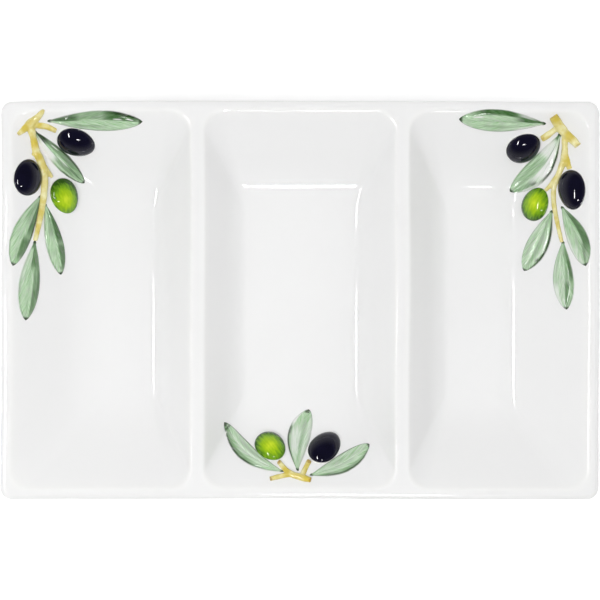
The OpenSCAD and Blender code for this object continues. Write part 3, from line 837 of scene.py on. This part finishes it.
def add_leaf(name, basin, base, tip, width, bow, seed):
    """A leaf on its wall, with its painting as marks on its points."""
    base, tip = sprig_place(basin, base), sprig_place(basin, tip)
    length = np.linalg.norm(tip - base)
    way = (tip - base) / length
    left = np.array([-way[1], way[0]])
    middle = (base + tip) / 2 + 2 * bow * left
    t = (1 - np.cos(np.linspace(0, math.pi, LEAF_ROWS)))[:, None] / 2
    # Two columns past each edge carry the skirt of slip.
    s = np.linspace(-1, 1, LEAF_COLUMNS - 4)
    s = np.concatenate([[-1.02, -1.01], s, [1.01, 1.02]])[None, :]
    skirt = np.concatenate([[1, 0.5], np.zeros(LEAF_COLUMNS - 4), [0.5, 1]])[None, :]
    rounding = np.sqrt(np.clip(np.minimum(t, 1 - t) / END_ROUND, SHARPEST, 1))
    blunt = (BASE_BLUNT + (TIP_BLUNT - BASE_BLUNT) * t) * rounding
    widest = swell(BASE_POWER / (BASE_POWER + TIP_POWER))
    reach = width / 2 * np.maximum(blunt, swell(t) / widest)
    aside = np.clip(s, -1, 1) * reach + np.sign(s) * skirt * LEAF_SKIRT
    u = t[..., None]
    spine = (1 - u) ** 2 * base + 2 * u * (1 - u) * middle + u ** 2 * tip
    plan = spine + aside[..., None] * left
    dome = (1 - np.clip(np.abs(s), 0, 1) ** 2) ** CREST_POWER
    thick = LEAF_EDGE + (LEAF_CREST - LEAF_EDGE) * dome - VEIN_DEPTH * np.exp(-(s / VEIN_SHARE) ** 2)
    ends = smooth_step(0, BASE_SLOPE, t) * smooth_step(0, TIP_SLOPE, 1 - t)
    ends = ends * np.minimum(1, reach / (THIN_SHARE * width))
    lift = thick * ends * (1 - skirt) - BEDDED * skirt
    over = on_wall(basin, plan, lift)
    under = on_wall(basin, plan, np.full(lift.shape, -2 * BEDDED))
    paint = leaf_painting(name, t, s)
    paint["along"] = t * length + 0 * s
    paint["vein"] = np.abs(aside) - FEATHER * paint["along"] + HALVES_APART * (aside > 0)
    paint["seed"] = np.full(lift.shape, float(seed))
    points = np.concatenate([over.reshape(-1, 3), under.reshape(-1, 3)])
    marks = {key: np.tile(value.reshape(-1), 2) for key, value in paint.items()}
    faces = closed_grid(LEAF_ROWS, LEAF_COLUMNS)
    add_piece(name + "_relief", points, faces, leaf_paint, name, marks)


for seed, leaf in enumerate(LEAVES):
    add_leaf(*leaf, seed)

# %% [markdown]
# Ripe olives are dipped in a blue-black underglaze, so dark that only the gloss of the glaze shows their
# form. Near the foot a grey ring is painted in, a painted reflection of the white walls, and past it
# comes the white slip.

# %% Black olive paint
BLACK_CLOUD = 6 * MM
SLIP_WHITE = "#EFEFEC"


def slip_beyond(tree, paint, reach):
    """White slip past the edge of an olive's paint."""
    past = add_node(tree, "MapRange", values={"From Min": 0.99, "From Max": 1.0}, links={"Value": reach})
    return add_node(tree, "Mix", COLOUR_MIX, {7: linear(SLIP_WHITE)}, {0: past, 6: paint})


black_paint, tree = new_material("blue_black_underglaze_clear_glaze")
place = add_node(tree, "TexCoord").outputs["Object"]
cloud = add_node(tree, "TexNoise", values={"Scale": 1 / BLACK_CLOUD, "Detail": 2.0},
                 links={"Vector": place})
dark = add_node(tree, "Mix", COLOUR_MIX, {6: linear("#030212"), 7: linear("#0D0B24")}, {0: cloud})
reach = add_node(tree, "Attribute", {"attribute_name": "reach"}).outputs["Fac"]
# A grey ring painted near the foot: a painted reflection of the white walls.
painted_rim_reflection = add_node(tree, "MapRange", values={"From Min": 0.86, "From Max": 0.99, "To Max": 0.25},
                links={"Value": reach})
with_rim_reflection = add_node(tree, "Mix", COLOUR_MIX, {7: linear("#3C3A48")}, {0: painted_rim_reflection, 6: dark})
clear_glaze(tree, {"Base Color": slip_beyond(tree, with_rim_reflection, reach)})
print(black_paint.name)

# %% [markdown]
# Green olives are washed with yellow green, strongest on the crown, and a darker green is brushed round
# the edge. This light crown and dark edge are partly the wash and partly painted highlight and painted
# shade of the dome. The dabs of the brush are drawn out along the olive.

# %% Green olive paint
DAB_LENGTH, DAB_WIDTH = 3.5, 1.2
WASH_AND_SHADE_STOPS = ((0.4, "#A0C41C"), (0.75, "#6C9C1E"))

green_paint, tree = new_material("yellow_green_underglaze_clear_glaze")
marks = {}
for mark in ("along", "across", "reach", "off_lit_crown"):
    marks[mark] = add_node(tree, "Attribute", {"attribute_name": mark}).outputs["Fac"]
brushed = add_node(tree, "CombineXYZ", links={0: marks["along"], 1: marks["across"]})
dab_place = add_node(tree, "VectorMath", {"operation": "MULTIPLY"},
                     {1: (1 / DAB_LENGTH, 1 / DAB_WIDTH, 1.0)}, {0: brushed})
dabs = add_node(tree, "TexNoise", values={"Scale": 1.0, "Detail": 3.0}, links={"Vector": dab_place})
dabbed = add_node(tree, "Math", {"operation": "MULTIPLY_ADD"}, {1: 0.8, 2: -0.4}, {0: dabs})
spread = add_node(tree, "Math", {"operation": "ADD"}, links={0: marks["off_lit_crown"], 1: dabbed})
# From the light crown to the dark edge: the wash, with painted highlight and painted shade.
wash_and_shade = add_node(tree, "ValToRGB", links={"Fac": spread})
stops = wash_and_shade.color_ramp.elements
stops[0].color, stops[1].color = linear("#C8DC30"), linear("#30540F")
for spot, colour in WASH_AND_SHADE_STOPS:
    stops.new(spot).color = linear(colour)
clear_glaze(tree, {"Base Color": slip_beyond(tree, wash_and_shade, marks["reach"])})
print(green_paint.name)

# %% [markdown]
# An olive is half of one, lying in the wall, a little narrower towards its far end. Its foot follows the
# wall, and a narrow skirt of white slip runs round it. It has a name, a basin, its middle, length, width
# and turn in degrees, a material slot, and the place of its lit crown, where the wash and its painted
# highlight are strongest, as shares of its half sizes.

# %% Olives
OLIVES = (
    ("left_upper_olive", 0, (37.1, 17.3), 23, 18, -27, "olive_black", (0, 0)),
    ("left_side_olive", 0, (8.6, 38.3), 21.6, 18.2, 78, "olive_black", (0, 0)),
    ("left_green_olive", 0, (29.1, 48.9), 21.6, 17.7, -61, "olive_green", (0.15, -0.2)),
    ("right_upper_olive", 2, (37.3, 20.3), 21.8, 17.9, 50, "olive_black", (0, 0)),
    ("right_side_olive", 2, (9.2, 45.6), 23.6, 17.7, -79, "olive_black", (0, 0)),
    ("right_green_olive", 2, (29.4, 53.6), 20.6, 17, 56, "olive_green", (0.1, -0.1)),
    ("front_green_olive", 1, (-17.4, 23.6), 20.6, 17, -59, "olive_green", (0.1, -0.1)),
    ("front_black_olive", 1, (14.6, 23.1), 22.6, 17.4, 59, "olive_black", (0, 0)),
)
print("olives:", len(OLIVES))

# %% [markdown]
# The mesh is a point on the crown, rings down the dome to the foot, two rings of skirt, and a point
# under the wall that closes it. A stretched ball could stand for it, but it would meet the sloping wall
# in a hard line, with no slip round it.

# %% Olive meshes
OLIVE_RISE, OLIVE_TAPER, OLIVE_SKIRT = 5.0, 0.08, 0.06
OLIVE_SIDES, OLIVE_RINGS = 96, 36
FOOT_LIFT, FOOT_START, PAST_PAINT = 0.3, 0.97, 1.1


def add_olive(name, basin, middle, length, width, turn, slot, lit_crown):
    """An olive in its wall, with marks for its paint."""
    centre = sprig_place(basin, middle)
    up = wall_normal(basin, *[np.array(v) for v in centre])
    heading = np.array([math.cos(math.radians(turn)), math.sin(math.radians(turn)), 0])
    long_axis = heading - heading.dot(up) * up
    long_axis = long_axis / np.linalg.norm(long_axis)
    cross_axis = np.cross(up, long_axis)
    reach = np.concatenate([np.sin(np.linspace(0, math.pi / 2, OLIVE_RINGS))[1:],
                            [1 + OLIVE_SKIRT / 2, 1 + OLIVE_SKIRT]])[:, None]
    angle = (2 * math.pi * np.arange(OLIVE_SIDES) / OLIVE_SIDES)[None, :]
    along = reach * np.cos(angle)
    across = reach * np.sin(angle) * (1 - OLIVE_TAPER * reach * np.cos(angle))
    spread = along[..., None] * long_axis * length / 2 + across[..., None] * cross_axis * width / 2
    plan = centre + spread[..., :2]
    foot = on_wall(basin, plan, np.zeros(along.shape))
    skirt = np.clip((reach - 1) / OLIVE_SKIRT, 0, 1)
    dome = OLIVE_RISE * np.sqrt(np.clip(1 - reach ** 2, 0, 1))
    edge = FOOT_LIFT * (1 - skirt) * (reach > FOOT_START)
    over = foot + up * (dome + edge - BEDDED * skirt + 0 * angle)[..., None]
    crown_point = on_wall(basin, centre[None, :], np.array([OLIVE_RISE]))
    base_point = on_wall(basin, centre[None, :], np.array([-2 * BEDDED]))
    points = np.concatenate([crown_point, over.reshape(-1, 3), base_point])
    last = 1 + (len(reach) - 1) * OLIVE_SIDES
    faces = fan_faces(0, 1, OLIVE_SIDES) + ring_faces(1, len(reach), OLIVE_SIDES)
    faces += fan_faces(len(points) - 1, last, OLIVE_SIDES)
    off = np.hypot(along - lit_crown[0], across - lit_crown[1])
    marks = {}
    for mark, top, values, base in (
            ("reach", 0, reach + 0 * angle, PAST_PAINT),
            ("off_lit_crown", math.hypot(*lit_crown), off, PAST_PAINT),
            ("along", centre[0], along * length / 2 + centre[0], centre[0]),
            ("across", centre[1], across * width / 2 + centre[1], centre[1])):
        marks[mark] = np.concatenate([[top], values.reshape(-1), [base]])
    paint = black_paint if slot == "olive_black" else green_paint
    add_piece(name + "_relief", points, faces, paint, name, marks)


for olive in OLIVES:
    add_olive(*olive)

# %% [markdown]
# The twigs are rolled from soft clay and painted ochre. Where the colour runs off the sides and into the
# crotches it gathers to a golden yellow, and low on the sides that golden is also painted shade on the
# flanks of the round. The cut ends are ringed with brown, most of all those of the front twig. At the
# very foot the white is bare slip and a painted highlight of the glaze.

# %% Twig paint
TWIG_DAB, TWIG_POOL = 5 * MM, 9 * MM

twig_paint, tree = new_material("ochre_underglaze_clear_glaze")
place = add_node(tree, "TexCoord").outputs["Object"]
dabs = add_node(tree, "TexNoise", values={"Scale": 1 / TWIG_DAB, "Detail": 3.0, "Roughness": 0.6},
                links={"Vector": place})
pools = add_node(tree, "TexNoise", values={"Scale": 1 / TWIG_POOL, "Detail": 2.0}, links={"Vector": place})
marks = {}
for mark in ("side", "cut", "bare_and_glint"):
    marks[mark] = add_node(tree, "Attribute", {"attribute_name": mark}).outputs["Fac"]
dabbed = add_node(tree, "MapRange", values={"From Min": 0.32, "From Max": 0.68}, links={"Value": dabs})
pooled = add_node(tree, "MapRange", values={"From Min": 0.48, "From Max": 0.66, "To Max": 0.8},
                  links={"Value": pools})
gathered_and_shaded = add_node(tree, "Math", {"operation": "MAXIMUM"}, links={0: marks["side"], 1: pooled})
paint = add_node(tree, "Mix", COLOUR_MIX, {6: linear("#F1EDBC"), 7: linear("#DCCF7C")}, {0: dabbed})
for colour, amount in (("#CFB93E", gathered_and_shaded), ("#A27A26", marks["cut"]), (SLIP_WHITE, marks["bare_and_glint"])):
    paint = add_node(tree, "Mix", COLOUR_MIX, {7: linear(colour)}, {0: amount, 6: paint})
clear_glaze(tree, {"Base Color": paint})
print(twig_paint.name)

# %% [markdown]
# A twig is a few strands that run into each other. It has a name, a basin, how brown its cut ends are,
# those ends by strand and point, the pools of golden colour, each a place and how far it spreads, and
# its strands. A point of a strand is its place and the strand's width there.

# %% Strands of the twigs
TWIGS = (
    ("left_twig", 0, 0.15, ((0, 0), (0, -1), (2, -1)), ((12.4, 18, 5), (15, 26, 4), (8, 9.5, 4)), (
        ((3.6, 13.4, 2.2), (10.5, 7.2, 5), (15.6, 3, 3.8), (18.2, 0.4, 2.8), (19.4, -1.2, 1.6)),
        ((10.8, 7.6, 5), (12.4, 16, 4.2), (13.6, 22.5, 4.6), (17.4, 33, 4.6), (18, 45, 4), (16, 60, 3.6),
         (13, 75.5, 2.6)),
        ((12.6, 7.6, 3.4), (20, 8.4, 3.6), (25.8, 11, 2.8)),
        ((14, 21, 4), (11.6, 25.6, 1.8)),
        ((17.2, 31.5, 4.4), (22.6, 38, 2)))),
    ("right_twig", 2, 0.25, ((0, 0), (0, -1), (2, -1)), ((20, 3.5, 6), (11, 14, 5)), (
        ((21, 2.4, 5), (18.3, 6.2, 5.8), (14, 11.5, 5.2), (9.2, 16.1, 4.6), (6, 20, 4.2)),
        ((14, 12.8, 3.4), (13.4, 20.2, 3.6), (13.7, 26.8, 4), (15.7, 33.3, 3.5), (18.2, 39.9, 3.4),
         (19.5, 45.7, 2.9), (19.4, 53.1, 2.9), (18, 61.9, 2.7), (16.4, 70.1, 2.5), (15, 76.4, 2.2)),
        ((18.6, 9.4, 3.4), (23.6, 13.2, 4), (27, 15.4, 3.6)),
        ((13.3, 24.9, 3.8), (11.8, 29.8, 3.5), (10.6, 33.4, 2.8)),
        ((16.8, 36.2, 3.2), (20.8, 42, 2.8), (24.2, 45.8, 2.2)))),
    ("front_twig", 1, 0.7, ((0, 0), (0, -1), (1, -1), (2, -1)), ((5, 5, 4), (-8, 10, 4)), (
        ((-12.6, 15.2, 2.8), (-6.5, 8.8, 3.6), (0.5, 6.2, 3.9), (6.7, 4.6, 3.2)),
        ((-4.5, 8, 3.2), (-10, 7, 3), (-17.5, 5.3, 2.8)),
        ((1, 6.4, 3.2), (3.2, 11, 3.2), (5.6, 15.7, 3.2)))),
)
print("strands:", sum(len(twig[-1]) for twig in TWIGS))

# %% [markdown]
# Each strand is swept along a smooth line through its points, half round on the wall, and slow swellings
# make the knots. A bevelled curve would be quicker to write, but it wouldn't lie on the wall.

# %% Strand meshes
TWIG_ROUND = 0.6
STRAND_STEPS, STRAND_SIDES = 12, 16
KNOB, KNOB_SPACING = 0.035, 8.0


def strand_line(points):
    """A smooth line through a strand's points, with its width."""
    p = np.asarray(points, dtype=float)
    p = np.concatenate([p[:1], p, p[-1:]])
    line = []
    for i in range(1, len(p) - 2):
        for t in np.arange(STRAND_STEPS) / STRAND_STEPS:
            a, b, c, d = p[i - 1:i + 3]
            line.append(0.5 * (2 * b + (c - a) * t + (2 * a - 5 * b + 4 * c - d) * t ** 2
                               + (3 * b - a - 3 * c + d) * t ** 3))
    return np.array(line + [p[-2]])


def strand_mesh(basin, strand, first):
    """Points and faces of one strand, half round on the wall."""
    line = strand_line(strand)
    plan = np.array([sprig_place(basin, q) for q in line])
    way = np.gradient(plan, axis=0)
    left = np.stack([-way[:, 1], way[:, 0]], axis=1) / np.linalg.norm(way, axis=1, keepdims=True)
    turns = math.pi * np.arange(STRAND_SIDES) / (STRAND_SIDES - 1)
    run = np.concatenate([[0], np.cumsum(np.linalg.norm(np.diff(plan, axis=0), axis=1))])
    beat = 2 * math.pi * run / KNOB_SPACING + first
    width = line[:, 2] * (1 + KNOB * (np.sin(beat) + 0.6 * np.sin(1.7 * beat + 1)))
    rings = []
    for p, l, w in zip(plan, left, width):
        places = p + np.outer(np.cos(turns) * w / 2, l)
        rings.append(on_wall(basin, places, np.sin(turns) * w * TWIG_ROUND - BEDDED))
    faces = ring_faces(first, len(rings), STRAND_SIDES)
    last = first + (len(rings) - 1) * STRAND_SIDES
    faces.append(tuple(range(first, first + STRAND_SIDES)))
    faces.append(tuple(reversed(range(last, last + STRAND_SIDES))))
    return np.concatenate(rings), faces


print("sides of a strand:", STRAND_SIDES)

# %% [markdown]
# A voxel remesh melts the strands into one piece of clay, with soft crotches where the shoots leave the
# stem. A boolean union would leave hard creases there. Some smoothing takes off the steps of the voxels.

# %% Melting the strands
TWIG_VOXEL, SMOOTHING, SMOOTH_ROUNDS = 0.4, 0.5, 6


def melted(points, faces):
    """Points and faces of a mesh after a voxel remesh and some smoothing."""
    mesh = bpy.data.meshes.new("melting")
    mesh.from_pydata(points.tolist(), [], faces)
    rough = bpy.data.objects.new("melting", mesh)
    bpy.context.scene.collection.objects.link(rough)
    remesh = rough.modifiers.new("remesh", "REMESH")
    remesh.mode = "VOXEL"
    remesh.voxel_size = TWIG_VOXEL
    smooth = rough.modifiers.new("smooth", "SMOOTH")
    smooth.factor = SMOOTHING
    smooth.iterations = SMOOTH_ROUNDS
    result = rough.evaluated_get(bpy.context.evaluated_depsgraph_get()).to_mesh()
    made = np.array([v.co[:] for v in result.vertices])
    sides = [tuple(f.vertices) for f in result.polygons]
    bpy.data.objects.remove(rough)
    bpy.data.meshes.remove(mesh)
    return made, sides


print("voxels of %.1f mm" % TWIG_VOXEL)

# %% [markdown]
# The melted twigs get their marks of paint: golden low on the sides, partly colour gathered there and
# partly painted shade, golden in the pools, brown round the cut ends, and white at the very foot, bare
# slip and a painted highlight of the glaze.

# %% Twigs
POOL_GOLD, SIDE_GOLD_AND_SHADE, POOL_CORE = 0.85, 0.6, 0.3
SIDE_RISE, BARE_RISE, CUT_REACH = (1.2, 0.4), (0.3, 0.1), (1.8, 1.0)

for name, basin, brown, cut_ends, pools, strands in TWIGS:
    points, faces = [], []
    for strand in strands:
        more, sides = strand_mesh(basin, strand, sum(len(p) for p in points))
        points.append(more)
        faces += sides
    shape, sides = melted(np.concatenate(points), faces)
    rise = shape[:, 2] - wall_z(basin, shape[:, 0], shape[:, 1])
    ends = np.array([sprig_place(basin, strands[i][j]) for i, j in cut_ends])
    to_end = np.linalg.norm(shape[:, None, :2] - ends[None], axis=2).min(axis=1)
    # Golden low on the sides: gathered colour and painted shade on the flanks.
    golden_and_shade = SIDE_GOLD_AND_SHADE * smooth_step(*SIDE_RISE, rise)
    for u, v, spread in pools:
        away = np.linalg.norm(shape[:, :2] - sprig_place(basin, (u, v)), axis=1)
        golden_and_shade = np.maximum(golden_and_shade, POOL_GOLD * smooth_step(spread, POOL_CORE * spread, away))
    # White at the foot: bare slip and a painted highlight of the glaze.
    marks = {"side": golden_and_shade, "bare_and_glint": smooth_step(*BARE_RISE, rise),
             "cut": brown * smooth_step(*CUT_REACH, to_end)}
    add_piece(name + "_relief", shape, sides, twig_paint, name, marks)
